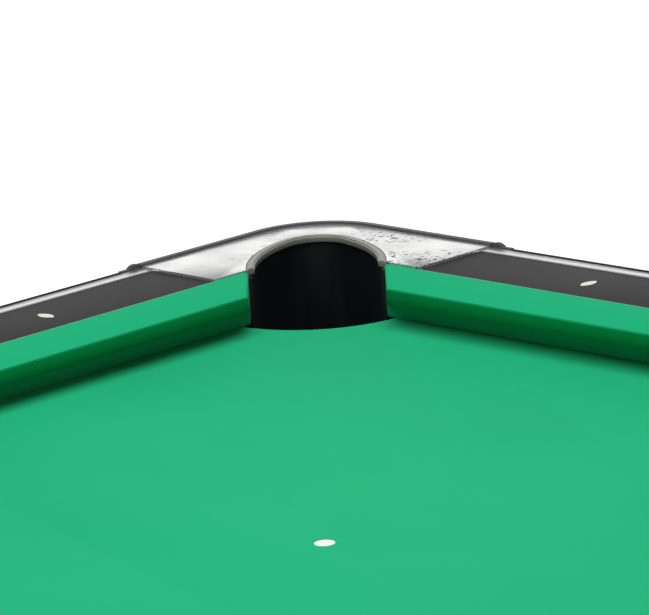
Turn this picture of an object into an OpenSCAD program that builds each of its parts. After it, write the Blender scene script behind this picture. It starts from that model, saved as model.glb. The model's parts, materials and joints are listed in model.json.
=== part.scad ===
// Seven foot pool table with ball return: one design, every solid its own node.
// Millimetres. +X runs from the head end to the foot end, +Y is the left side, +Z is up.
// The origin is on the floor, under the middle of the table.

/* [Playing field] */
// Length of the playing field between cushion noses
play_length = 1981.2; // [1800:0.1:2540]
// Width of the playing field between cushion noses
play_width = 990.6; // [900:0.1:1270]
// Height of the cloth above the floor
bed_height = 762; // [740:1:790]

/* [Rails] */
// Height of the cushion nose above the cloth
nose_height = 36.3; // [34:0.1:38]
// Nose line to the feather strip
cushion_width = 52; // [48:0.5:56]
// Nose line to the outer face of the rail
rail_width = 156; // [130:1:180]
// Height of the rail top above the cloth
rail_top = 42; // [40:0.5:46]

/* [Pockets] */
// Corner mouth between the cushion tips
corner_mouth = 125; // [114:0.5:130]
// Side mouth between the cushion tips
side_mouth = 129; // [124:0.5:140]
// Half width of the hole in the pocket
hole_half = 57; // [52:0.5:58]
// Angle between a corner facing and the nose line
corner_cut = 135; // [134:0.5:143]
// Angle between a side facing and the nose line
side_cut = 104; // [98:0.5:108]
// Length of a corner casting's arm, measured from the nose corner
arm_end = 79; // [70:1:90]
// Outer radius of a corner
corner_radius = 78; // [60:1:95]

/* [Slate and cabinet] */
// Slate thickness
slate_t = 22; // [19:1:30]
// Cloth thickness
cloth_t = 1; // [0.6:0.1:1.5]
// Depth of the cabinet walls
cabinet_h = 330; // [250:5:380]
// Width of a square leg
leg_w = 104; // [90:2:110]

/* [Hidden] */
$fn = 96;
HX = play_length / 2;
HY = play_width / 2;
B = bed_height;
tip = corner_mouth / sqrt(2);
cut_c = 180 - corner_cut;
cut_s = side_cut - 90;
out_d = rail_width;
skirt_z = -36;                 // underside of the rail skirt, from the cloth
slate_out = 100;               // slate edge, from the nose line
slate_low = -cloth_t - slate_t;
wall_in = 118;
wall_out = 138;
wall_top = skirt_z - 0.3;
cab_low = wall_top - cabinet_h;
rim_w = 7.5;                   // width of a pocket's rim
rim_half = hole_half + rim_w;
chute_out = 2.3;               // outer face of a chute, in from the rim's
chute_in = 4.7;                // and its inner face
chute_reach = 64.5;            // how far a chute reaches under the slate, in from the nose line
side_at = 55;                  // side pocket: centre of the round back, out from the nose line
arch_at = 22;                  // corner pocket: where the sides of the arched back begin to close in
arch_back = 138.5;             // and how far back it reaches, along the diagonal
arch_side = 170;               // radius of the sides
arch_end = (pow(arch_side, 2) - pow(arch_side - rim_half, 2) - pow(arch_back - arch_at, 2))
  / (2 * (arch_side - arch_back + arch_at)); // radius of the end that runs into both sides
arch_lap = 10;                 // the sides run on this far into the straight part, and the arcs
arch_ease = 0.05;              // differ by this, so that each crosses the next one cleanly
ear_t = 2.4;                   // the ears of a chute stand behind the ends of the cushions
ear_low = 0.3;
bumper_w = 6.8;                // width of the rubber bumper around a casting
bumper_end_w = 4.7;            // and of its ends, beside the edge trim
bumper_top = 46.4;
casting_in = 7;                // outer face of a casting, in from the bumper's
casting_low = 36.8;
casting_top = 44.6;
skirt_in = 13.3;               // inner face of a casting's skirt
nub_x = 6;                     // middle of a bumper's round end, past the casting's arm
nub_z = 35.4;
sight_r = 13.2;                // a sight is where two circles overlap, each this far off the middle
sight_at = 8;
end_len = 24;                  // length of the bumper's end block
side_arm = 105;
run_d = -15.6;                 // line of the ball runs, from the nose line
function hole_x(s) = s ? -run_d : 22; // the drop hole of a chute, over the ball runs
beam_x = [-680, -250, 250, 680];
bolt_x = [200, 495.3, 790.6];
leg_top = B + cab_low;
leg_low = 48;
tray_z = -300;

// ---- frames ----
module corner(sx, sy) translate([sx * HX, sy * HY, B])
  mirror([sx > 0 ? 1 : 0, 0, 0]) mirror([0, sy > 0 ? 1 : 0, 0]) children();
module corners() for (sx = [-1, 1], sy = [-1, 1]) corner(sx, sy) children();
module side(sy) translate([0, sy * HY, B]) mirror([0, sy > 0 ? 1 : 0, 0]) children();
module end_rail(sx) translate([sx * HX, 0, B]) mirror([sx > 0 ? 1 : 0, 0, 0])
  translate([0, HY, 0]) rotate([0, 0, -90]) children();
// The six rails as short names: he, fe, lh, lf, rh, rf
module rail(k) {
  if (k == "he") end_rail(-1) children();
  if (k == "fe") end_rail(1) children();
  if (k == "lh") corner(-1, 1) children();
  if (k == "lf") corner(1, 1) children();
  if (k == "rh") corner(-1, -1) children();
  if (k == "rf") corner(1, -1) children();
}
RAILS = ["he", "fe", "lh", "lf", "rh", "rf"];
function at_end(k) = k == "he" || k == "fe";
rail_len = 2 * HY;             // corner to corner, and corner to side pocket, are the same here
half_len = HX;
function len_of(k) = at_end(k) ? rail_len : half_len;

// ---- rail sections, as [distance out from the nose, height above the cloth] ----
function out(p) = [for (q = p) [-q[0], q[1]]];
module run(p, k, a = -10) translate([a, 0, 0]) rotate([90, 0, 90])
  linear_extrude(len_of(k) + 20) polygon(out(p));
cw = cushion_width;
skin_out = [[cw, 36], [cw, 43], [3, 37.9], [0.9, 37.3], [0, nose_height], [0.7, 35.1],
  [30, 12], [30, 0.3]];
skin_in = [[31, 0.3], [31, 12.5], [1.7, 35.6], [1.25, 36.2], [1.75, 36.65], [3.1, 36.9],
  [cw - 1, 41.88], [cw - 1, 36]];
rubber = [[31, 12.5], [31, 39.8], [3.1, 36.9], [1.75, 36.65], [1.25, 36.2], [1.7, 35.6]];
core = [[31, 0], [102.5, 0], [102.5, skirt_z], [146, skirt_z], [146, 40.6], [54.4, 40.6],
  [54.4, 35], [cw - 1, 35], [cw - 1, 41.88], [31, 39.8]];
under = [[1.25, 36.2], [3.1, 36.9], [cw - 1, 41.88], [cw - 1, 1.5], [31, 1.5], [31, 12.5]];
feather = [[cw + 0.1, 35.2], [54.2, 35.2], [54.2, 42.1], [cw + 0.1, 42.6]];
top_sheet = [[54.4, 40.6], [135.5, 40.6], [135.5, rail_top], [54.4, rail_top]];
trim = [[135.7, 40.6], [146, 40.6], [146, 22], [151, 22], [151, 42.4], [149.4, 43],
  [137.4, 43], [135.7, 42.4]];
fascia = [[146.2, skirt_z], [153, skirt_z], [out_d, -33], [out_d, 38.6], [155.3, 41.4],
  [153.6, 43.6], [151.2, 44.2], [151.2, 21.8], [146.2, 21.8]];

// The plan of a rail: pocket facings in front, a square end under the castings behind.
// o is the distance kept back from the finished facing, e is the square end's setback.
module plan(k, o, e = 0.5, z = 120) {
  L = len_of(k);
  fa = function (d) tip - d / tan(cut_c) + o / sin(cut_c);
  fb = at_end(k) ? fa : function (d) side_mouth / 2 - d * tan(cut_s) + o / cos(cut_s);
  eb = at_end(k) ? arm_end + e : side_arm + e;
  translate([0, 0, -50]) linear_extrude(z) polygon([[fa(-6), 6], [fa(cw), -cw],
    [arm_end + e, -cw], [arm_end + e, -170], [L - eb, -170], [L - eb, -cw],
    [L - fb(cw), -cw], [L - fb(-6), 6]]);
}
module cut_run(p, k, o, e = 0.5) intersection() { run(p, k); plan(k, o, e); }
module bolt_holes(k, r) for (x = bolt_x) translate([x, -80, -60]) cylinder(r = r, h = 78);

module core_of(k) color("#8a6a45") rail(k) difference() { cut_run(core, k, 4); bolt_holes(k, 5.5); }
module cloth_of(k) color("#12a06a") rail(k) union() {
  cut_run(concat(skin_out, skin_in), k, 0);
  difference() { cut_run(concat(skin_out, [[cw - 1, 1.5], [cw - 1, 36]]), k, 0); plan(k, 1, -40); }
}

// ---- pockets ----
// The plan of a pocket, o in from the outside of its rim and reaching f in front of the nose
// line: a plain round back at a side pocket (s), and an arch of three arcs at a corner
module mouth(s, o, f, h) {
  if (s) round_back(rim_half - o, side_at, f, h);
  if (!s) linear_extrude(h) arch(o, f);
}
module round_back(r, c, f, h) {
  translate([-c, 0, 0]) cylinder(r = r, h = h);
  translate([-c, -r, 0]) cube([c + f, 2 * r, h]);
}
module arch(o, f) {
  apart = arch_side - rim_half;
  end_at = arch_back - arch_end;
  meet = arch_at + (arch_side - o) * (end_at - arch_at) / (arch_side - arch_end);
  intersection() {
    translate([-arch_at, -apart]) circle(r = arch_side - o, $fn = 360);
    translate([-arch_at, apart]) circle(r = arch_side - o, $fn = 360);
    translate([-meet, -100]) square([meet - arch_at + arch_lap, 200]);
  }
  translate([-end_at, 0]) circle(r = arch_end - o + arch_ease, $fn = 180);
  translate([-arch_at, o + arch_ease - rim_half])
    square([arch_at + f, 2 * (rim_half - o - arch_ease)]);
}
module slate_cut(s, h) {
  w = s ? 66 : 72;
  c = s ? 75 : 56;
  r = s ? 70 : 107;
  intersection() {
    translate([-c, 0, 0]) cylinder(r = r, h = h, $fn = 180);
    translate([-c, -w, 0]) cube([c + r + 1, 2 * w, h]);
  }
  translate([-300, -w, 0]) cube([300 - c, 2 * w, h]);
}
module cs(sx, sy) corner(sx, sy) rotate([0, 0, 45]) children();
module ss(sy) side(sy) rotate([0, 0, 90]) children();
module bed_sheet(o, z, h) difference() {
  translate([-HX - o, -HY - o, B + z]) cube([2 * HX + 2 * o, 2 * HY + 2 * o, h]);
  for (sx = [-1, 1], sy = [-1, 1]) cs(sx, sy) translate([0, 0, z - 1]) slate_cut(false, h + 2);
  for (sy = [-1, 1]) ss(sy) translate([0, 0, z - 1]) slate_cut(true, h + 2);
  for (k = RAILS) rail(k) bolt_holes(k, 5.5);
}
// f is where the walls above the slate stop, out from the nose line or the nose corner
module chute(s, f) difference() {
  union() {
    intersection() {
      translate([0, 0, -24.5]) mouth(s, chute_out, -f, 63);
      translate([-300 - f, -100, -30]) cube([300, 200, 100]);
    }
    translate([0, 0, -98]) mouth(s, chute_out, chute_reach, 74);
    translate([-50, -70, -26]) cube([50 + chute_reach, 140, 2]);
  }
  translate([0, 0, -120]) difference() {
    mouth(s, chute_in, chute_reach - 2.5, 200);
    intersection() {
      mouth(s, chute_in - 1, chute_reach + 2, 40);
      translate([hole_x(s), 0, 24]) rotate([0, 6, 0]) translate([-160, -80, 0])
        cube([240, 160, 4]);
    }
  }
  translate([hole_x(s), 0, -130]) cylinder(r = 35, h = 60);
}
module ear(x, l) translate([x, -cw - 0.5 - ear_t, ear_low])
  cube([l, ear_t, casting_low - 0.5 - ear_low]);
module corner_chute() {
  chute(false, 4);
  for (s = [0, 1]) rotate([0, 0, -45]) mirror([s, -s, 0]) ear(34, 42);
}
module side_chute() {
  chute(true, cw + 1);
  for (s = [0, 1]) rotate([0, 0, -90]) mirror([s, 0, 0]) ear(60.5, 40);
}
module rim(s) translate([0, 0, 38.8]) difference() {
  union() {
    mouth(s, 0, 60, 5.4);
    mouth(s, 1.4, 60, 6.4);
  }
  translate([0, 0, -1]) mouth(s, rim_w, 80, 10);
  translate([0, 0, 5]) mouth(s, rim_w - 1.2, 80, 5);
}
module corner_rim() difference() {
  rotate([0, 0, 45]) rim(false);
  translate([-cw - 0.3, -cw - 0.3, 0]) cube([300, 300, 60]);
}
module side_rim() difference() {
  rotate([0, 0, 90]) rim(true);
  translate([-150, -cw - 0.3, 0]) cube([300, 300, 60]);
}
// The outline of a corner, i in from the outer face
module corner_solid(i, h) {
  o = out_d - i;
  r = corner_radius - i;
  c = out_d - corner_radius;
  translate([-c, -o, 0]) cube([c + arm_end, 2 * o, h]);
  translate([-o, -c, 0]) cube([o + arm_end, c + arm_end, h]);
  translate([-c, -c, 0]) cylinder(r = r, h = h);
}
module corner_shape(i, h) intersection() {
  corner_solid(i, h);
  translate([-out_d, -out_d, 0]) cube([out_d + arm_end, out_d + arm_end, h]);
}
module casting_bosses(at, cut) for (p = at) translate([p[0], p[1], cut ? 0 : 4])
  cylinder(r = cut ? 3.2 : 9, h = cut ? 28 : 34);
CORNER_BOSSES = [[50, -129], [-129, 50]];
SIDE_BOSSES = [[-85, -128], [85, -128]];
module corner_casting() difference() {
  union() {
    translate([0, 0, casting_low]) corner_shape(casting_in, casting_top - casting_low);
    translate([0, 0, skirt_z]) difference() {
      corner_shape(casting_in, casting_low - skirt_z + 1);
      translate([0, 0, -1]) corner_shape(skirt_in, casting_low - skirt_z + 3);
      translate([skirt_in - out_d, skirt_in - out_d, -1]) cube([300, 300, casting_low - skirt_z + 3]);
    }
    casting_bosses(CORNER_BOSSES, false);
  }
  translate([-cw - 0.2, -cw - 0.2, -60]) cube([300, 300, 200]);
  translate([0, 0, -60]) rotate([0, 0, 45]) mouth(false, -0.3, 200, 200);
  casting_bosses(CORNER_BOSSES, true);
}
module side_casting() difference() {
  d = out_d - casting_in;
  union() {
    translate([-side_arm, -d, casting_low]) cube([2 * side_arm, d - cw, casting_top - casting_low]);
    translate([-side_arm, -d, skirt_z])
      cube([2 * side_arm, skirt_in - casting_in, casting_low - skirt_z + 1]);
    casting_bosses(SIDE_BOSSES, false);
  }
  translate([-200, -cw - 0.2, -60]) cube([400, 300, 200]);
  translate([0, 0, -60]) rotate([0, 0, 90]) mouth(true, -0.3, 200, 200);
  casting_bosses(SIDE_BOSSES, true);
}
// The end of a bumper past an arm that stops at x = 0: a low block with a round nub on it
module bumper_end() {
  translate([-0.1, -out_d, skirt_z]) cube([end_len, bumper_end_w, 80]);
  translate([nub_x, bumper_end_w - out_d, nub_z]) rotate([90, 0, 0]) cylinder(r = 12, h = bumper_end_w);
}
module corner_bumper() {
  difference() {
    translate([0, 0, skirt_z]) corner_shape(0, bumper_top - skirt_z);
    translate([0, 0, skirt_z - 1]) corner_solid(bumper_w, 120);
  }
  for (s = [0, 1]) mirror([s, -s, 0]) translate([arm_end, 0, 0]) bumper_end();
}
module side_bumper() {
  translate([-side_arm, -out_d, skirt_z]) cube([2 * side_arm, bumper_w, bumper_top - skirt_z]);
  for (s = [0, 1]) mirror([s, 0, 0]) translate([side_arm, 0, 0]) bumper_end();
}

// ---- nodes: bed ----
module slate_bed() color("#6f7478") bed_sheet(slate_out, slate_low, slate_t);
module bed_cloth() color("#12a06a") bed_sheet(slate_out, -cloth_t, cloth_t);
module foot_spot() color("#f2f2ec") translate([HX - HY, 0, B]) cylinder(r = 8, h = 0.3);

// ---- nodes: rails ----
module rail_core_head() core_of("he");
module rail_core_foot() core_of("fe");
module rail_core_left_head() core_of("lh");
module rail_core_left_foot() core_of("lf");
module rail_core_right_head() core_of("rh");
module rail_core_right_foot() core_of("rf");
module cushion_cloth_head() cloth_of("he");
module cushion_cloth_foot() cloth_of("fe");
module cushion_cloth_left_head() cloth_of("lh");
module cushion_cloth_left_foot() cloth_of("lf");
module cushion_cloth_right_head() cloth_of("rh");
module cushion_cloth_right_foot() cloth_of("rf");
module cushion_rubbers() color("#b98d5e") for (k = RAILS) rail(k) cut_run(rubber, k, 4);
module pocket_facings() color("#222222") for (k = RAILS) rail(k)
  difference() { cut_run(under, k, 1); plan(k, 4, -40); }
module feather_strips() color("#c8b38c") for (k = RAILS) rail(k) cut_run(feather, k, 4);
module rail_tops() color("#4a4848") for (k = RAILS) rail(k) cut_run(top_sheet, k, 4);
module edge_trims() color("#d5d7d9") for (k = RAILS) rail(k) cut_run(trim, k, 4);
module rail_fascias() color("#2a282a") for (k = RAILS) rail(k) cut_run(fascia, k, 4, end_len + 0.2);
module sight() linear_extrude(0.3) intersection() {
  translate([-sight_at, 0]) circle(r = sight_r);
  translate([sight_at, 0]) circle(r = sight_r);
}
module sights() color("#e9e8dc") for (k = RAILS) rail(k)
  for (i = [1:3]) translate([i * HY / 2, -94, rail_top]) sight();
module rail_bolts() color("#b9bcc0") for (k = RAILS) rail(k) for (x = bolt_x) translate([x, -80, 0]) {
  translate([0, 0, -24]) cylinder(r = 5, h = 41);
  translate([0, 0, -26]) cylinder(r = 14, h = 2.8);
  translate([0, 0, -32.5]) cylinder(r = 9.2, h = 7, $fn = 6);
}

// ---- nodes: pockets ----
module casting_left_foot() color("#dfe1e2") corner(1, 1) corner_casting();
module casting_right_foot() color("#dfe1e2") corner(1, -1) corner_casting();
module casting_left_head() color("#dfe1e2") corner(-1, 1) corner_casting();
module casting_right_head() color("#dfe1e2") corner(-1, -1) corner_casting();
module side_castings() color("#dfe1e2") for (sy = [-1, 1]) side(sy) side_casting();
module casting_bumpers() color("#232124") {
  corners() corner_bumper();
  for (sy = [-1, 1]) side(sy) side_bumper();
}
module pocket_rims() color("#84837a") {
  corners() corner_rim();
  for (sy = [-1, 1]) side(sy) side_rim();
}
module chute_left_foot() color("#0b0e11") cs(1, 1) corner_chute();
module chute_right_foot() color("#0b0e11") cs(1, -1) corner_chute();
module chute_left_head() color("#0b0e11") cs(-1, 1) corner_chute();
module chute_right_head() color("#0b0e11") cs(-1, -1) corner_chute();
module chute_left_side() color("#0b0e11") ss(1) side_chute();
module chute_right_side() color("#0b0e11") ss(-1) side_chute();

// ---- nodes: cabinet ----
// A beam carries the slate between the rails, and is notched under them to reach the walls
module cross_beams() color("#a98255") for (x = beam_x) {
  beam(x, HY + slate_out, slate_low - 0.2);
  beam(x, HY + wall_in - 0.2, skirt_z - 0.6);
}
module beam(x, y, top) translate([x - 20, -y, B + slate_low - 60])
  cube([40, 2 * y, top - slate_low + 60]);
module rounded_case() translate([0, 0, B + cab_low - 1]) linear_extrude(cabinet_h + 2) union() {
  x = HX + wall_out;
  y = HY + wall_out;
  r = 36;
  square([2 * x - 2 * r, 2 * y], center = true);
  square([2 * x, 2 * y - 2 * r], center = true);
  for (sx = [-1, 1], sy = [-1, 1]) translate([sx * (x - r), sy * (y - r)]) circle(r = r);
}
module wall_side(sy) intersection() { rounded_case(); wall_side_box(sy); }
module wall_side_box(sy) translate([-HX - wall_in + 0.2, 0, B + cab_low])
  translate([0, sy > 0 ? HY + wall_in : -HY - wall_out, 0])
  cube([2 * (HX + wall_in) - 0.4, wall_out - wall_in, cabinet_h]);
module cabinet_left() color("#3c3a3b") wall_side(1);
module cabinet_right() color("#3c3a3b") wall_side(-1);
module wall_end(x) intersection() {
  rounded_case();
  translate([x, -HY - wall_out, B + cab_low]) cube([20, 2 * (HY + wall_out), cabinet_h]);
}
module cabinet_head() color("#3c3a3b") wall_end(-HX - wall_out);
module cabinet_foot() color("#3c3a3b") difference() {
  wall_end(HX + wall_in);
  translate([HX + 100, -235, B + tray_z + 6]) cube([60, 470, 96]);
}
module cabinet_floor() color("#a98255") difference() {
  translate([-HX - wall_in + 0.2, -HY - wall_in + 0.2, B + cab_low + 10])
    cube([2 * (HX + wall_in) - 0.4, 2 * (HY + wall_in) - 0.4, 12]);
  for (sx = [-1, 1], sy = [-1, 1])
    translate([sx * (HX + wall_in - 46) - 46.3, sy * (HY + wall_in - 46) - 46.3, B + cab_low])
      cube([92.6, 92.6, 40]);
}
module corner_posts() color("#8a6a45") for (sx = [-1, 1], sy = [-1, 1])
  translate([sx * (HX + wall_in - 46), sy * (HY + wall_in - 46), B + cab_low]) difference() {
    translate([-45.8, -45.8, 0.2]) cube([91.6, 91.6, 140]);
    for (a = [-1, 1], b = [-1, 1]) translate([a * 30, b * 30, -1]) cylinder(r = 5.1, h = 62);
  }
run_tilt = 2.5;
module ball_runs() color("#2b2d30") for (sy = [-1, 1])
  translate([-HX - 30, sy * (HY + run_d), B - 145]) rotate([0, run_tilt, 0]) difference() {
    translate([0, -37, -3]) cube([2 * HX + 55, 74, 40]);
    translate([3, -34, 0]) cube([2 * HX + 60, 68, 60]);
  }
module run_hangers() color("#9aa0a4") for (sy = [-1, 1], x = beam_x) {
  drop = 145 + (x + HX + 30) * tan(run_tilt);
  translate([x - 12, sy * (HY + run_d + 37.5) - (sy > 0 ? 0 : 3), B - drop + 2])
    cube([24, 3, drop + slate_low - 62.2]);
}
module ball_tray() color("#26282a") translate([HX - 130, -518, B + tray_z]) difference() {
  cube([246, 1036, 56]);
  translate([4, 4, 4]) cube([238, 1028, 60]);
  translate([200, 283, 6]) cube([60, 470, 60]);
}
module return_bezel() color("#c9cbcd") translate([HX + wall_in - 1.5, -235, B + tray_z + 6]) difference() {
  union() {
    translate([21.7, -16, -16]) cube([4, 502, 128]);
    translate([0, 0.2, 0.2]) cube([22, 469.6, 95.6]);
  }
  translate([-5, 3, 3]) cube([60, 464, 90]);
}

// ---- nodes: legs and feet ----
module at_legs() for (sx = [-1, 1], sy = [-1, 1])
  translate([sx * (HX + wall_in - 46), sy * (HY + wall_in - 46), 0]) children();
module legs() color("#3c3a3b") at_legs() difference() {
  translate([-leg_w / 2, -leg_w / 2, leg_low + 3]) cube([leg_w, leg_w, leg_top - leg_low - 10.2]);
  translate([0, 0, 0]) cylinder(r = 8.06, h = 180);
}
module leg_shoes() color("#c9cbcd") at_legs() difference() {
  translate([-leg_w / 2 - 2, -leg_w / 2 - 2, leg_low]) cube([leg_w + 4, leg_w + 4, 55]);
  translate([-leg_w / 2 - 0.2, -leg_w / 2 - 0.2, leg_low + 2.8]) cube([leg_w + 0.4, leg_w + 0.4, 60]);
  translate([0, 0, 0]) cylinder(r = 8.06, h = 180);
}
module leg_plates() color("#8d9195") at_legs() translate([0, 0, leg_top - 7]) difference() {
  translate([-leg_w / 2 - 3, -leg_w / 2 - 3, 0]) cube([leg_w + 6, leg_w + 6, 6.8]);
  for (a = [-1, 1], b = [-1, 1]) translate([a * 30, b * 30, -1]) cylinder(r = 5.1, h = 10);
}
module leg_bolts() color("#b9bcc0") at_legs() for (a = [-1, 1], b = [-1, 1])
  translate([a * 30, b * 30, leg_top - 7 + 0.2]) cylinder(r = 4.9, h = 60);
module leg_at(sx, sy) translate([sx * (HX + wall_in - 46), sy * (HY + wall_in - 46), 0]) children();
module pad() color("#1d1e20") difference() {
  union() { cylinder(r = 34, h = 8); cylinder(r = 20, h = 18); }
  translate([0, 0, 8]) cylinder(r = 8.06, h = 20);
}
module stem() color("#b9bcc0") {
  translate([0, 0, 8.2]) cylinder(r = 8, h = 130);
  translate([0, 0, 30]) cylinder(r = 15, h = 17.8, $fn = 6);
}
module foot_pad_left_foot() leg_at(1, 1) pad();
module foot_pad_right_foot() leg_at(1, -1) pad();
module foot_pad_left_head() leg_at(-1, 1) pad();
module foot_pad_right_head() leg_at(-1, -1) pad();
module foot_stem_left_foot() leg_at(1, 1) stem();
module foot_stem_right_foot() leg_at(1, -1) stem();
module foot_stem_left_head() leg_at(-1, 1) stem();
module foot_stem_right_head() leg_at(-1, -1) stem();
module cue_ball() color("#f4f1e6") translate([HX + 52, 90, B + tray_z + 4 + 28.6]) sphere(r = 28.575);

slate_bed();
bed_cloth();
foot_spot();
rail_core_head();
rail_core_foot();
rail_core_left_head();
rail_core_left_foot();
rail_core_right_head();
rail_core_right_foot();
cushion_cloth_head();
cushion_cloth_foot();
cushion_cloth_left_head();
cushion_cloth_left_foot();
cushion_cloth_right_head();
cushion_cloth_right_foot();
cushion_rubbers();
pocket_facings();
feather_strips();
rail_tops();
edge_trims();
rail_fascias();
sights();
rail_bolts();
casting_left_foot();
casting_right_foot();
casting_left_head();
casting_right_head();
side_castings();
casting_bumpers();
pocket_rims();
chute_left_foot();
chute_right_foot();
chute_left_head();
chute_right_head();
chute_left_side();
chute_right_side();
cross_beams();
cabinet_left();
cabinet_right();
cabinet_head();
cabinet_foot();
cabinet_floor();
corner_posts();
ball_runs();
run_hangers();
ball_tray();
return_bezel();
legs();
leg_shoes();
leg_plates();
leg_bolts();
foot_pad_left_foot();
foot_pad_right_foot();
foot_pad_left_head();
foot_pad_right_head();
foot_stem_left_foot();
foot_stem_right_foot();
foot_stem_left_head();
foot_stem_right_head();
cue_ball();
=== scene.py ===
# %% [markdown]
# # A pool table, dressed around its CAD frame
# The table comes in as a frame of solids that already have the right size and place.
# Here it gets what a workshop adds last: cloth pulled over the slate and the cushions,
# broken edges on the castings, and a finish on every surface. The frame is never moved,
# so a new piece is made where the frame says, and the frame's solid behind it is hidden.

# %% The frame
import bpy
import math
import json
from mathutils import Matrix, Vector


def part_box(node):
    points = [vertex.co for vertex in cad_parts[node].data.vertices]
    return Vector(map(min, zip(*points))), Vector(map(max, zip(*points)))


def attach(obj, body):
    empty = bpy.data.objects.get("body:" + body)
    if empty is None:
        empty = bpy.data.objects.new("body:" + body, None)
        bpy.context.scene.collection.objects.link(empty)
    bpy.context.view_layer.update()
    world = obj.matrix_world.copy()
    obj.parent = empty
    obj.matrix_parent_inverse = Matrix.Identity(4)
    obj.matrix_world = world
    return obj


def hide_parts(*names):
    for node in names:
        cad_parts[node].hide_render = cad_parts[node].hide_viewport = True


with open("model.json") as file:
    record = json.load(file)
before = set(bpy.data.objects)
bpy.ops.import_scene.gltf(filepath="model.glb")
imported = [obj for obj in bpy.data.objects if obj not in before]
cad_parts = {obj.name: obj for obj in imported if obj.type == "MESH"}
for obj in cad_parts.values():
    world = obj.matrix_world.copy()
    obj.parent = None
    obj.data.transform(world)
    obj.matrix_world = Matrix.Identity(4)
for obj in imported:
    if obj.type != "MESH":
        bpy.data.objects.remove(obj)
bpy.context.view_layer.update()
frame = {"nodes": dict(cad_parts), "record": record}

MM = 0.001
nodes = frame["nodes"]
body_of = {n: b for b, members in frame["record"]["behaviour"]["bodies"].items() for n in members}
slot_of = {s["node"]: s["material_slot"] for s in frame["record"]["subparts"]}

# %% [markdown]
# ## Where the playing field is
# Everything on a pool table is measured from the line of the cushion noses. The slate
# reaches 100 mm past that line on each side, so the cloth's own box gives the half length,
# the half width and the height of the bed.

# %% The field
SLATE_PAST_NOSE = 100 * MM
cloth_low, cloth_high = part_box("bed_cloth")
HALF_LENGTH = cloth_high.x - SLATE_PAST_NOSE
HALF_WIDTH = cloth_high.y - SLATE_PAST_NOSE
BED = cloth_high.z
print("field", round(2 * HALF_LENGTH, 4), "x", round(2 * HALF_WIDTH, 4), "bed at", round(BED, 4))

# %% [markdown]
# ## A small language for finishes
# A finish is a tree of shader nodes, and a tree is easier to read as arithmetic. Field
# wraps one output socket. Writing field * 0.5 + 0.1 adds the Math nodes for it, and the
# reflected forms let a plain number stand on the left, as in 1 - field.


# %% Fields and finishes
class Field:
    def __init__(self, finish, socket):
        self.finish, self.socket = finish, socket

    def maths(self, operation, other, swapped=False):
        pair = [other, self] if swapped else [self, other]
        return self.finish.add("ShaderNodeMath", {"operation": operation}, {0: pair[0], 1: pair[1]})

    def __add__(self, other): return self.maths("ADD", other)
    def __radd__(self, other): return self.maths("ADD", other, True)
    def __sub__(self, other): return self.maths("SUBTRACT", other)
    def __rsub__(self, other): return self.maths("SUBTRACT", other, True)
    def __mul__(self, other): return self.maths("MULTIPLY", other)
    def __rmul__(self, other): return self.maths("MULTIPLY", other, True)


class Finish:
    """One material: its shader's fixed values are set here, and what varies is linked later."""

    def __init__(self, name, colour, roughness=0.5, metallic=0.0, **fixed):
        self.material = bpy.data.materials.new(name)
        self.material.use_nodes = True
        self.tree = self.material.node_tree
        self.shader = self.tree.nodes["Principled BSDF"]
        self.colour = (*colour, 1.0)
        self.set("Base Color", self.colour)
        self.set("Roughness", roughness)
        self.set("Metallic", metallic)
        for key, value in fixed.items():
            self.set(key.replace("_", " ").title().replace("Ior", "IOR"), value)
        self.place = self.add("ShaderNodeTexCoord", {}, {}, "Object")

    def set(self, socket, value):
        if isinstance(value, Field):
            self.tree.links.new(value.socket, self.shader.inputs[socket])
        else:
            self.shader.inputs[socket].default_value = value

    def add(self, kind, settings, sockets, output=0):
        node = self.tree.nodes.new(kind)
        for key, value in settings.items():
            setattr(node, key, value)
        for key, value in sockets.items():
            if isinstance(value, Field):
                self.tree.links.new(value.socket, node.inputs[key])
            else:
                node.inputs[key].default_value = value
        return Field(self, node.outputs[output])

    def noise(self, scale, detail=2.0, roughness=0.5, stretch=None):
        where = self.place
        if stretch:
            where = self.add("ShaderNodeMapping", {}, {"Vector": self.place, "Scale": stretch}, "Vector")
        return self.add("ShaderNodeTexNoise", {}, {"Vector": where, "Scale": scale, "Detail": detail,
                                                   "Roughness": roughness}, "Fac")

    def spread(self, field, low, high):
        """The field between low and high stretched over 0 to 1, and held there outside."""
        return self.add("ShaderNodeMapRange", {"clamp": True},
                        {"Value": field, "From Min": low, "From Max": high, "To Min": 0.0, "To Max": 1.0},
                        "Result")

    def mix(self, amount, first, second):
        """Two colours, mixed by a field: none of it gives the first."""
        node = self.tree.nodes.new("ShaderNodeMix")
        node.data_type = "RGBA"
        sockets = (node.inputs["Factor"], amount), (node.inputs[6], first), (node.inputs[7], second)
        for socket, value in sockets:
            if isinstance(value, Field):
                self.tree.links.new(value.socket, socket)
            else:
                socket.default_value = value if isinstance(value, float) else (*value[:3], 1.0)
        return Field(self, node.outputs[2])

    def relief(self, height, depth, strength=1.0):
        """A bump whose full height is depth, in metres."""
        self.set("Normal", self.add("ShaderNodeBump", {}, {"Height": height, "Distance": depth,
                                                           "Strength": strength}, "Normal"))


# %% [markdown]
# ## Cloth
# Billiard cloth is worsted wool: thin, close and nearly smooth, with a weave finer than a
# millimetre. Two crossed sets of fine ribs make the weave, a fine noise its fibres, and a
# very wide noise the faint change in tone that brushing leaves. A little sheen stands for
# the fibre ends that catch light at a low angle.


# %% Cloth
def ribs(finish, axis, pitch):
    wave = finish.add("ShaderNodeTexWave",
                      {"wave_type": "BANDS", "bands_direction": axis, "wave_profile": "SIN"},
                      {"Vector": finish.place, "Scale": math.pi / (10 * pitch), "Distortion": 0.4,
                       "Detail": 1.0, "Detail Scale": 2.0}, "Fac")
    return wave


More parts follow.
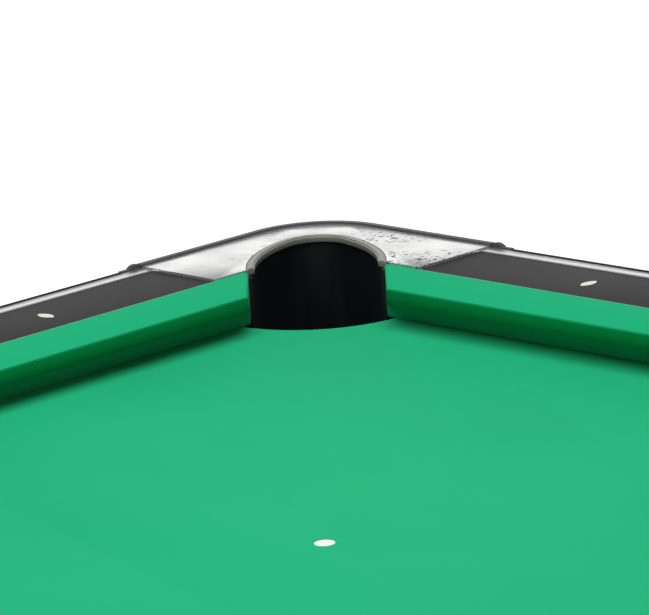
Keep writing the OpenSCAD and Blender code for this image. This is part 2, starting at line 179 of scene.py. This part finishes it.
def worsted(name, colour, pitch=0.9 * MM):
    cloth = Finish(name, colour, 0.92, sheen_weight=0.02, sheen_roughness=0.45, specular_ior_level=0.1)
    weave = ribs(cloth, "X", pitch) * 0.5 + ribs(cloth, "Y", pitch) * 0.5
    fibre = cloth.noise(1400.0, 3.0, 0.65)
    nap = cloth.noise(3.2, 3.0, 0.5)
    tone = cloth.spread(weave * 0.25 + fibre * 0.45 + nap * 0.5, 0.3, 0.9)
    cloth.set("Base Color", cloth.mix(tone, [c * 0.90 for c in colour], [min(1.0, c * 1.08) for c in colour]))
    cloth.set("Roughness", cloth.spread(fibre, 0.2, 0.8) * 0.1 + 0.86)
    cloth.relief(weave * 0.5 + fibre * 0.5, 0.12 * MM, 0.6)
    return cloth


BAIZE = worsted("green baize", (0.013, 0.455, 0.200))
CUSHION_BAIZE = worsted("green cushion baize", (0.010, 0.440, 0.195), 0.8 * MM)
print("cloth", BAIZE.material.name)

# %% [markdown]
# ## Laminate, vinyl and rubber
# The rail tops are a hard charcoal laminate with a fine pebbled face. Speckle in the
# colour and a shallow bump make it read as laminate and not as paint. The fascias, the
# bumpers and the pocket liners are softer plastics, told apart by their gloss.


# %% Dark plastics
def pebbled(name, colour, roughness, pebble, depth, speckle=0.25, **fixed):
    sheet = Finish(name, colour, roughness, **fixed)
    grit = sheet.noise(1.0 / pebble, 2.0, 0.6)
    cloud = sheet.noise(7.0, 3.0, 0.5)
    tone = sheet.spread(grit * 0.7 + cloud * 0.3, 0.3, 0.7)
    sheet.set("Base Color", sheet.mix(tone, [c * (1 - speckle) for c in colour],
                                      [c * (1 + speckle) for c in colour]))
    sheet.set("Roughness", sheet.spread(cloud, 0.3, 0.7) * 0.08 + (roughness - 0.04))
    sheet.relief(grit, depth)
    return sheet


LAMINATE = pebbled("charcoal laminate", (0.030, 0.0285, 0.0295), 0.6, 1.6 * MM, 0.05 * MM,
                   specular_ior_level=0.14)
CABINET = pebbled("cabinet laminate", (0.050, 0.047, 0.048), 0.5, 2.2 * MM, 0.06 * MM)
VINYL = pebbled("black vinyl", (0.022, 0.020, 0.022), 0.42, 1.2 * MM, 0.03 * MM)
BUMPER = pebbled("bumper rubber", (0.074, 0.068, 0.077), 0.45, 2.0 * MM, 0.03 * MM)
LINER = pebbled("pocket liner", (0.0035, 0.006, 0.009), 0.5, 2.5 * MM, 0.08 * MM)
RIM = pebbled("grey rim", (0.30, 0.29, 0.255), 0.45, 2.0 * MM, 0.05 * MM, 0.15)
PAD = pebbled("black pad", (0.018, 0.018, 0.020), 0.7, 2.0 * MM, 0.08 * MM)
RUN = pebbled("ball run plastic", (0.020, 0.021, 0.024), 0.5, 3.0 * MM, 0.06 * MM)
FACING = pebbled("facing rubber", (0.015, 0.015, 0.015), 0.8, 1.5 * MM, 0.06 * MM)
GUM = pebbled("gum rubber", (0.36, 0.22, 0.10), 0.7, 2.5 * MM, 0.1 * MM)
SLATE = pebbled("honed slate", (0.085, 0.092, 0.098), 0.6, 3.5 * MM, 0.06 * MM, 0.18)

# %% [markdown]
# ## Metal
# The castings are zinc, ground and plated bright. Plating over a casting is never quite
# flat, so a slow noise tilts the surface a little and small pits sit in it, more of them in
# some places than in others. The same noise and pits also grey the colour in clouds and dark
# specks: that part is painted reflection, standing for the mottled surroundings that bright
# plating shows. Trim and fixings are plain satin metal.


# %% Metals
def plated():
    metal = Finish("polished casting", (0.90, 0.905, 0.895), 0.24, 0.85)
    cloud = metal.spread(metal.noise(16.0, 4.0, 0.6), 0.35, 0.7)
    patch = metal.spread(metal.noise(9.0, 2.0, 0.5), 0.40, 0.55)
    speck = metal.spread(metal.noise(190.0, 3.0, 0.6), 0.56, 0.62)
    pits_and_painted_reflection = speck * patch
    # The darker clouds and the dark specks in the colour are painted reflection of mottled surroundings. In
    # the roughness and the bump, the same specks are real pits.
    base = metal.mix(cloud, (0.93, 0.935, 0.925), (0.78, 0.79, 0.775))
    metal.set("Base Color", metal.mix(pits_and_painted_reflection, base, (0.16, 0.165, 0.16)))
    metal.set("Roughness", cloud * 0.12 + pits_and_painted_reflection * 0.3 + 0.18)
    metal.relief(cloud * 0.6 - pits_and_painted_reflection * 0.12, 0.25 * MM)
    return metal


def brushed(name, colour, roughness, stretch, depth=0.02 * MM):
    metal = Finish(name, colour, roughness, 1.0)
    hair = metal.noise(420.0, 3.0, 0.6, stretch)
    smear = metal.noise(5.0, 2.0, 0.5)
    metal.set("Base Color", metal.mix(hair, [c * 0.9 for c in colour], colour))
    metal.set("Roughness", hair * 0.1 + smear * 0.08 + (roughness - 0.08))
    metal.relief(hair, depth)
    return metal


CASTING = plated()
TRIM = brushed("bright trim", (0.90, 0.90, 0.91), 0.3, (0.06, 0.06, 1.0))
ZINC = brushed("zinc fixing", (0.62, 0.63, 0.64), 0.36, (1.0, 1.0, 0.2))

# %% [markdown]
# ## Wood, spot, sights and ball
# Wood is noise pulled out along the grain. The spot is a thin paper disc, the sights are a
# cream shell plastic, and the ball is cast resin under a clear polish.


# %% Wood and small things
def timber(name, light, dark, along):
    stretch = tuple(0.08 if axis in along else 1.0 for axis in "XYZ")
    wood = Finish(name, light, 0.6)
    grain = wood.noise(60.0, 4.0, 0.6, stretch)
    pore = wood.noise(500.0, 2.0, 0.5, stretch)
    tone = wood.spread(grain * 0.8 + pore * 0.2, 0.35, 0.65)
    wood.set("Base Color", wood.mix(tone, light, dark))
    wood.set("Roughness", pore * 0.2 + 0.5)
    wood.relief(grain * 0.5 + pore * 0.5, 0.1 * MM)
    return wood


POPLAR = timber("rail poplar", (0.42, 0.28, 0.14), (0.27, 0.16, 0.07), "XY")
PINE = timber("frame pine", (0.52, 0.36, 0.19), (0.36, 0.22, 0.10), "XY")
STRIP = timber("feather strip", (0.62, 0.58, 0.48), (0.48, 0.44, 0.35), "XY")
SPOT = pebbled("paper spot", (0.90, 0.90, 0.86), 0.75, 0.8 * MM, 0.02 * MM, 0.04)
SIGHT = pebbled("sight shell", (0.72, 0.71, 0.53), 0.3, 3.0 * MM, 0.01 * MM, 0.06, coat_weight=0.4)
BALL = pebbled("ball resin", (0.86, 0.82, 0.70), 0.12, 9.0 * MM, 0.004 * MM, 0.02, coat_weight=0.6)

FINISH_OF = {
    "slate": SLATE, "baize": BAIZE, "spot": SPOT, "rail_wood": POPLAR, "cushion_rubber": GUM,
    "facing_rubber": FACING, "feather": STRIP, "laminate": LAMINATE, "trim": TRIM, "fascia": VINYL,
    "sight": SIGHT, "casting": CASTING, "bumper": BUMPER, "rim": RIM, "liner": LINER, "fixing": ZINC,
    "beam": PINE, "cabinet": CABINET, "run": RUN, "ball": BALL, "pad": PAD,
}
for node, solid in nodes.items():
    solid.data.materials.clear()
    solid.data.materials.append(FINISH_OF[slot_of[node]].material)
print(len(FINISH_OF), "finishes on", len(nodes), "solids")

# %% [markdown]
# ## Tools for making pieces
# An operator works on whatever is selected, so each step first selects exactly what it
# means. only() leaves one object selected, pick() leaves only the faces or edges in edit
# mode that pass a test, and finish_piece() gives the piece its material and its body.


# %% Piece tools
def only(piece):
    bpy.ops.object.select_all(action="DESELECT")
    piece.select_set(True)
    bpy.context.view_layer.objects.active = piece


def edit(on=True):
    bpy.ops.object.mode_set(mode="EDIT" if on else "OBJECT")


def pick(piece, test, kind="EDGE"):
    """In edit mode: selects the edges or faces of the piece that pass the test, and no others."""
    bpy.ops.mesh.select_all(action="DESELECT")
    bpy.ops.mesh.select_mode(type=kind)
    edit(False)
    mesh = piece.data
    chosen = 0
    for item in (mesh.edges if kind == "EDGE" else mesh.polygons):
        item.select = bool(test([mesh.vertices[i].co for i in item.vertices]))
        chosen += item.select
    edit()
    return chosen


def apply(piece, kind, **settings):
    only(piece)
    modifier = piece.modifiers.new(kind.title(), kind)
    for key, value in settings.items():
        setattr(modifier, key, value)
    bpy.ops.object.modifier_apply(modifier=modifier.name)


def finish_piece(piece, name, finish, body, angle=35):
    only(piece)
    bpy.ops.object.transform_apply(location=True, rotation=True, scale=True)
    bpy.ops.object.shade_smooth_by_angle(angle=math.radians(angle))
    piece.name = piece.data.name = name
    piece.data.materials.clear()
    piece.data.materials.append(finish.material)
    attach(piece, body)
    return piece


# %% [markdown]
# ## Broken edges
# A solid from CAD has edges like razors, and no made thing has. Each hard part that shows
# is copied, its loose triangles are merged and its flat faces joined again, and then every
# sharp edge is rounded by the amount that its material would have: a casting is ground
# more than an extrusion is.


# %% Rounded copies
def rounded(node, width, segments=3):
    piece = nodes[node].copy()
    piece.data = nodes[node].data.copy()
    for key in list(piece.keys()):
        del piece[key]
    piece.parent = None
    bpy.context.scene.collection.objects.link(piece)
    only(piece)
    if piece.data.has_custom_normals:
        bpy.ops.mesh.customdata_custom_splitnormals_clear()
    edit()
    bpy.ops.mesh.select_all(action="SELECT")
    bpy.ops.mesh.remove_doubles(threshold=0.004 * MM)
    bpy.ops.mesh.dissolve_limited(angle_limit=math.radians(0.5))
    edit(False)
    if width:
        apply(piece, "BEVEL", width=width, segments=segments, limit_method="ANGLE",
              angle_limit=math.radians(28), use_clamp_overlap=True)
    finish_piece(piece, node + "_finished", FINISH_OF[slot_of[node]], body_of[node])
    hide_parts(node)
    return piece


EDGES = {
    "casting": 1.8, "bumper": 2.2, "rim": 1.3, "cabinet": 1.5, "trim": 0.35, "fascia": 0.6,
    "laminate": 0.2, "pad": 1.2, "fixing": 0.5, "liner": 0.5, "run": 0.8,
}
for node in sorted(nodes):
    slot = slot_of[node]
    if slot in EDGES and node not in ("rail_bolts", "leg_bolts", "run_hangers"):
        piece = rounded(node, EDGES[slot] * MM)
        print("rounded", node, len(piece.data.polygons))

# %% [markdown]
# ## Cushions
# A cushion is a strip of triangular rubber under stretched cloth. Its top falls gently to
# a rounded nose, its face runs back under the nose, and at a pocket it is cut at an angle
# and faced. It starts as a box over the whole rail. Four cuts give it the slope of the top,
# the undercut and the two pocket facings, and a bevel then rounds the nose and the ends.

# %% Cushion shape
CUSHION = 52 * MM          # nose to feather strip
NOSE = 36.3 * MM           # height of the nose above the bed
BACK = 43 * MM             # height of the cushion at the feather strip
FOOT = 30 * MM             # how far the cushion's foot lies behind the nose
FOOT_TOP = 12 * MM
NOSE_UP, NOSE_DOWN = 1.2 * MM, 0.8 * MM     # the nose's flat, above and below its own height
LIFT = 0.3 * MM            # between the foot and the bed cloth
NOSE_ROUND = 0.95 * MM     # the nose is two millimetres thick, so its two edges just meet
END_ROUND = 3.5 * MM       # the cloth is folded softly over the ends
CORNER_TIP = 125 * MM / math.sqrt(2)
SIDE_TIP = 129 * MM / 2
CORNER_CUT = math.radians(45)
SIDE_CUT = math.radians(76)


def slice_off(point, normal):
    """Cuts everything in edit mode with a plane and throws away the side the normal points to."""
    bpy.ops.mesh.select_all(action="SELECT")
    bpy.ops.mesh.bisect(plane_co=point, plane_no=Vector(normal).normalized(), use_fill=True,
                        clear_outer=True, threshold=0.001 * MM)


def cushion(length, far_end_at_side):
    """One cushion in its own place: X along the rail from the corner, -Y outwards, Z up from the bed."""
    bpy.ops.object.select_all(action="DESELECT")
    bpy.ops.mesh.primitive_cube_add(size=1, location=(length / 2, -CUSHION / 2, (BACK + FOOT_TOP) / 2))
    piece = bpy.context.object
    piece.scale = (length, CUSHION, BACK - FOOT_TOP)
    bpy.ops.object.transform_apply(location=True, rotation=True, scale=True)
    edit()
    slice_off((0, 0, NOSE + NOSE_UP), (0, BACK - NOSE - NOSE_UP, CUSHION))
    slice_off((0, -FOOT, FOOT_TOP), (0, NOSE - NOSE_DOWN - FOOT_TOP, -FOOT))
    pick(piece, lambda p: all(abs(c.z - FOOT_TOP) < 0.01 * MM for c in p), "FACE")
    bpy.ops.mesh.extrude_region_move(TRANSFORM_OT_translate={"value": (0, 0, LIFT - FOOT_TOP)})
    slice_off((CORNER_TIP, 0, 0), (-math.sin(CORNER_CUT), math.cos(CORNER_CUT), 0))
    if far_end_at_side:
        slice_off((length - SIDE_TIP, 0, 0), (math.sin(SIDE_CUT), math.cos(SIDE_CUT), 0))
    else:
        slice_off((length - CORNER_TIP, 0, 0), (math.sin(CORNER_CUT), math.cos(CORNER_CUT), 0))
    pick(piece, lambda p: all(c.z > NOSE for c in p) and abs(p[0].y - p[1].y) > CUSHION / 2)
    bpy.ops.mesh.bevel(offset=END_ROUND, segments=6)
    edit(False)
    apply(piece, "BEVEL", width=NOSE_ROUND, segments=4, limit_method="ANGLE", angle_limit=math.radians(30),
          use_clamp_overlap=False)
    return piece


def turned(piece, kx, ky, quarter=False):
    """The piece carried to its rail: kx and ky are the signs of the corner it starts from."""
    if quarter:
        place = Matrix(((0, 1, 0, 0), (-1, 0, 0, HALF_WIDTH), (0, 0, 1, 0), (0, 0, 0, 1)))
        place = Matrix.Translation((-HALF_LENGTH, 0, BED)) @ place
        if kx > 0:
            place = Matrix.Diagonal((-1, 1, 1, 1)) @ place
    else:
        place = Matrix.Diagonal((-kx, -ky, 1, 1))
        place = Matrix.Translation((kx * HALF_LENGTH, ky * HALF_WIDTH, BED)) @ place
    piece.data.transform(place)
    if place.determinant() < 0:
        piece.data.flip_normals()
    return piece


RAILS = {
    "head": (-1, 1, True), "foot": (1, 1, True), "left_head": (-1, 1, False), "left_foot": (1, 1, False),
    "right_head": (-1, -1, False), "right_foot": (1, -1, False),
}
for rail, (kx, ky, at_end) in RAILS.items():
    length = 2 * HALF_WIDTH if at_end else HALF_LENGTH
    node = "cushion_cloth_" + rail
    piece = turned(cushion(length, not at_end), kx, ky, at_end)
    finish_piece(piece, "cushion_" + rail, CUSHION_BAIZE, body_of[node])
    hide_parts(node)
    print("cushion", rail, len(piece.data.polygons))

# %% [markdown]
# ## Wedges beside the chutes
# The slate is cut wider than a chute, so that the chute can be let down into it. A strip of
# black rubber is pressed into the gap on each side, and keeps light and chalk from coming
# through. One strip is a box whose lower front edge is cut away to let it start into the
# gap and whose edges are then rounded. It is copied to both sides of every corner pocket.

# %% Wedges
WEDGE = (52 * MM, 9 * MM, 20 * MM)                  # along the pocket, across the gap, and down
WEDGE_AT = (36 * MM, 67.1 * MM, -11.8 * MM)         # its middle, from the nose corner

bpy.ops.object.select_all(action="DESELECT")
bpy.ops.mesh.primitive_cube_add(size=1, location=WEDGE_AT)
strip = bpy.context.object
strip.scale = WEDGE
bpy.ops.object.transform_apply(location=True, rotation=True, scale=True)
edit()
slice_off((WEDGE_AT[0] - WEDGE[0] / 2, 0, WEDGE_AT[2]), (-1, 0, -1))
edit(False)
apply(strip, "BEVEL", width=0.8 * MM, segments=3, limit_method="ANGLE", angle_limit=math.radians(30))
for corner, (kx, ky) in {"left_foot": (1, 1), "right_foot": (1, -1), "left_head": (-1, 1),
                         "right_head": (-1, -1)}.items():
    out, across = Vector((kx, ky, 0)).normalized(), Vector((-ky, kx, 0)).normalized()
    place = Matrix((out, across, (0, 0, 1))).transposed().to_4x4()
    place = Matrix.Translation((kx * HALF_LENGTH, ky * HALF_WIDTH, BED)) @ place
    for side in (1, -1):
        piece = strip.copy()
        piece.data = strip.data.copy()
        bpy.context.scene.collection.objects.link(piece)
        piece.data.transform(place @ Matrix.Diagonal((1, side, 1, 1)))
        if side < 0:
            piece.data.flip_normals()
        chute = "chute_" + corner
        name = f"wedge_{corner}_{'a' if side > 0 else 'b'}"
        finish_piece(piece, name, FACING, body_of[chute])
bpy.data.objects.remove(strip)
print("wedges", 8)

# %% [markdown]
# ## Bed cloth
# The bed cloth is one sheet pulled tight over the slate and cut round at the pockets. Its
# outline is the slate's, so the sheet is taken from the frame's cloth with its flat faces
# joined again, and its edges are softened as a folded cloth's are.

# %% Bed cloth
sheet = rounded("bed_cloth", 0.35 * MM, 2)
sheet.name = sheet.data.name = "bed_cloth_sheet"
print("bed cloth", len(sheet.data.polygons))

# %% [markdown]
# ## The room
# A plain pale floor that brightens towards the horizon, a large soft lamp over the table as
# a room would have, and a white card beyond the far corner, which is what the bright metal
# reflects. Near the table the floor glows less, so that the table's own shadow shows on it.

# %% Floor
bpy.ops.object.select_all(action="DESELECT")
bpy.ops.mesh.primitive_plane_add(size=400, location=(0, 0, 0))
floor = bpy.context.object
floor.name = "floor"
pale = Finish("pale floor", (0.90, 0.90, 0.90), 0.9, emission_strength=1.0)
away = pale.add("ShaderNodeVectorMath", {"operation": "LENGTH"}, {0: pale.place}, "Value")
pale.set("Emission Color", pale.mix(pale.spread(away, 2.0, 7.0), (0.48, 0.48, 0.48), (0.96, 0.96, 0.96)))
floor.data.materials.append(pale.material)

# %% Light
world = bpy.data.worlds.new("studio")
bpy.context.scene.world = world
world.use_nodes = True
world.node_tree.nodes["Background"].inputs["Color"].default_value = (1.0, 1.0, 1.0, 1.0)
world.node_tree.nodes["Background"].inputs["Strength"].default_value = 0.16


def lamp(name, place, target, size, power):
    data = bpy.data.lights.new(name, "AREA")
    data.shape, data.size, data.size_y, data.energy = "RECTANGLE", size[0], size[1], power
    light = bpy.data.objects.new(name, data)
    bpy.context.scene.collection.objects.link(light)
    light.location = place
    light.rotation_euler = (Vector(target) - Vector(place)).to_track_quat("-Z", "Y").to_euler()
    return light


lamp("over_table", (0.2, 0.1, 3.6), (0.2, 0.1, 0), (3.2, 2.2), 92)
lamp("far_card", (4.2, 3.7, 2.1), (1.0, 0.5, 0.9), (5.0, 2.2), 30)
print("lamps", 2)

# %% [markdown]
# ## The camera
# The view is from standing height over the near side at the far corner, through a long
# lens. The camera is set by how it sees that corner: how far off, how steeply down,
# how far round, and how much it is tilted in the hand.

# %% Camera
CORNER = Vector((HALF_LENGTH, HALF_WIDTH, BED))
DISTANCE, AZIMUTH, DOWN, ROLL, LENS = 3.746, 45.44, 14.0, -3.51, 226.65
AIM_OFF = (-4.9 * MM, -7.5 * MM)
azimuth, down, roll = (math.radians(a) for a in (AZIMUTH, DOWN, ROLL))
ahead = Vector((math.cos(azimuth) * math.cos(down), math.sin(azimuth) * math.cos(down), -math.sin(down)))
level = Vector((math.sin(azimuth), -math.cos(azimuth), 0))
above = level.cross(ahead)
right = math.cos(roll) * level + math.sin(roll) * above
top = math.cos(roll) * above - math.sin(roll) * level
stand = CORNER - ahead * DISTANCE - right * AIM_OFF[0] - top * AIM_OFF[1]
camera = bpy.data.objects.new("camera", bpy.data.cameras.new("camera"))
bpy.context.scene.collection.objects.link(camera)
camera.data.lens, camera.data.sensor_width, camera.data.clip_end = LENS, 36.0, 200.0
camera.matrix_world = Matrix.Translation(stand) @ Matrix((right, top, -ahead)).transposed().to_4x4()
bpy.context.scene.camera = camera
bpy.context.scene.view_settings.view_transform = "Standard"
print("camera at", [round(c, 3) for c in stand])
